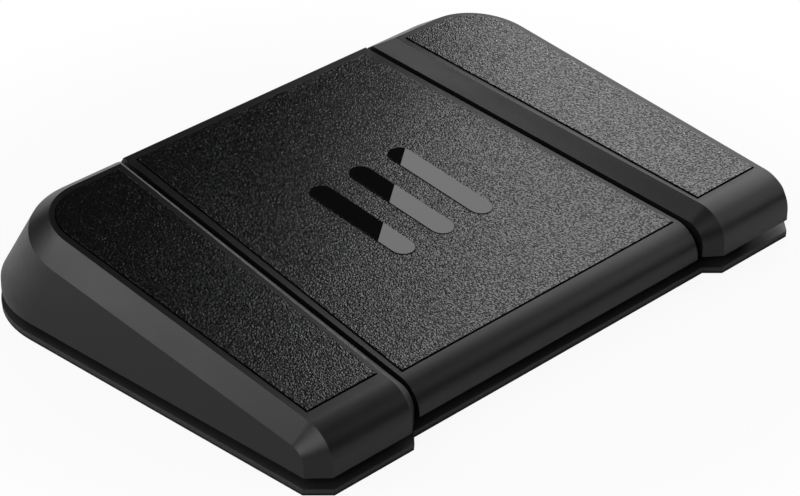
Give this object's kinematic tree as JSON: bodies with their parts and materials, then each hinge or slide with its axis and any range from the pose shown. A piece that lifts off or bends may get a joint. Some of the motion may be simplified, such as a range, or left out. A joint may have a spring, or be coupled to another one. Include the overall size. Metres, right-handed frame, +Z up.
{
  "type": "foot pedal switch",
  "caption": "Low foot-operated switch: a wide sloping centre pedal between two taller bevelled side pedals on a thin base plate, with a cable inlet at the back.",
  "frame": {"origin": "centre of the footprint, on the floor under the rubber mat", "axes": "+X to the right, +Y from the low front edge to the tall back, +Z up"},
  "size_m": [0.2366, 0.1726, 0.0417],
  "materials": {
    "pedal_plastic": "fine satin grain, near black",
    "tread_rubber": "leathery pebble grain, near black",
    "marker_gloss": "high gloss black",
    "plate_paint": "satin black powder coat on steel",
    "mat_rubber": "matt black rubber, grooved below",
    "tray_plastic": "matt black moulding",
    "steel": "bright steel",
    "spring_steel": "bare spring wire",
    "screw_black": "black oxide",
    "clamp_plastic": "natural grey nylon",
    "stop_rubber": "soft black rubber",
    "board_laminate": "green solder mask",
    "chip_black": "black moulded package",
    "component_tan": "ceramic body",
    "switch_plastic": "black moulded case",
    "plunger_plastic": "red moulded button",
    "inlet_shell": "bright plated steel sleeve"
  },
  "bodies": {
    "base": {"base_plate": "plate_paint", "base_mat": "mat_rubber", "chassis_tray": "tray_plastic", "inlet_housing": "tray_plastic", "hinge_rod": "steel", "rod_clamps": "clamp_plastic", "clamp_screws": "steel", "rod_clips": "steel", "left_return_spring": "spring_steel", "centre_return_springs": "spring_steel", "right_return_spring": "spring_steel", "left_bump_stop": "stop_rubber", "centre_bump_stops": "stop_rubber", "right_bump_stop": "stop_rubber", "circuit_board": "board_laminate", "controller_chip": "chip_black", "board_components": "component_tan", "board_screws": "steel", "left_switch_body": "switch_plastic", "centre_switch_body": "switch_plastic", "right_switch_body": "switch_plastic", "usb_receptacle": "inlet_shell", "usb_contact_tongue": "switch_plastic", "base_screws": "screw_black"},
    "left_pedal": {"left_pedal_shell": "pedal_plastic", "left_tread_pad": "tread_rubber"},
    "left_plunger": {"left_switch_plunger": "plunger_plastic"},
    "centre_pedal": {"centre_pedal_shell": "pedal_plastic", "centre_tread_pad": "tread_rubber", "centre_marker_bars": "marker_gloss"},
    "centre_plunger": {"centre_switch_plunger": "plunger_plastic"},
    "right_pedal": {"right_pedal_shell": "pedal_plastic", "right_tread_pad": "tread_rubber"},
    "right_plunger": {"right_switch_plunger": "plunger_plastic"}
  },
  "joints": [
    {"name": "left_pedal_hinge", "type": "hinge", "parent": "base", "child": "left_pedal", "pos_m": [0, 0.0643, 0.018], "axis": [1, 0, 0], "range_deg": [0, 1.4], "stiffness_Nm_per_rad": 20, "springref_deg": -2.86, "deforming": ["left_return_spring"]},
    {"name": "left_plunger_slide", "type": "slide", "parent": "base", "child": "left_plunger", "axis": [0, 0, 1], "range_m": [-0.0012, 0]},
    {"name": "centre_pedal_hinge", "type": "hinge", "parent": "base", "child": "centre_pedal", "pos_m": [0, 0.0643, 0.018], "axis": [1, 0, 0], "range_deg": [0, 1.4], "stiffness_Nm_per_rad": 20, "springref_deg": -2.86, "deforming": ["centre_return_springs"]},
    {"name": "centre_plunger_slide", "type": "slide", "parent": "base", "child": "centre_plunger", "axis": [0, 0, 1], "range_m": [-0.0012, 0]},
    {"name": "right_pedal_hinge", "type": "hinge", "parent": "base", "child": "right_pedal", "pos_m": [0, 0.0643, 0.018], "axis": [1, 0, 0], "range_deg": [0, 1.4], "stiffness_Nm_per_rad": 20, "springref_deg": -2.86, "deforming": ["right_return_spring"]},
    {"name": "right_plunger_slide", "type": "slide", "parent": "base", "child": "right_plunger", "axis": [0, 0, 1], "range_m": [-0.0012, 0]}
  ],
  "couplings": [
    {"joint": "left_plunger_slide", "follows": "left_pedal_hinge", "m_per_rad": -0.046},
    {"joint": "centre_plunger_slide", "follows": "centre_pedal_hinge", "m_per_rad": -0.046},
    {"joint": "right_plunger_slide", "follows": "right_pedal_hinge", "m_per_rad": -0.046}
  ]
}
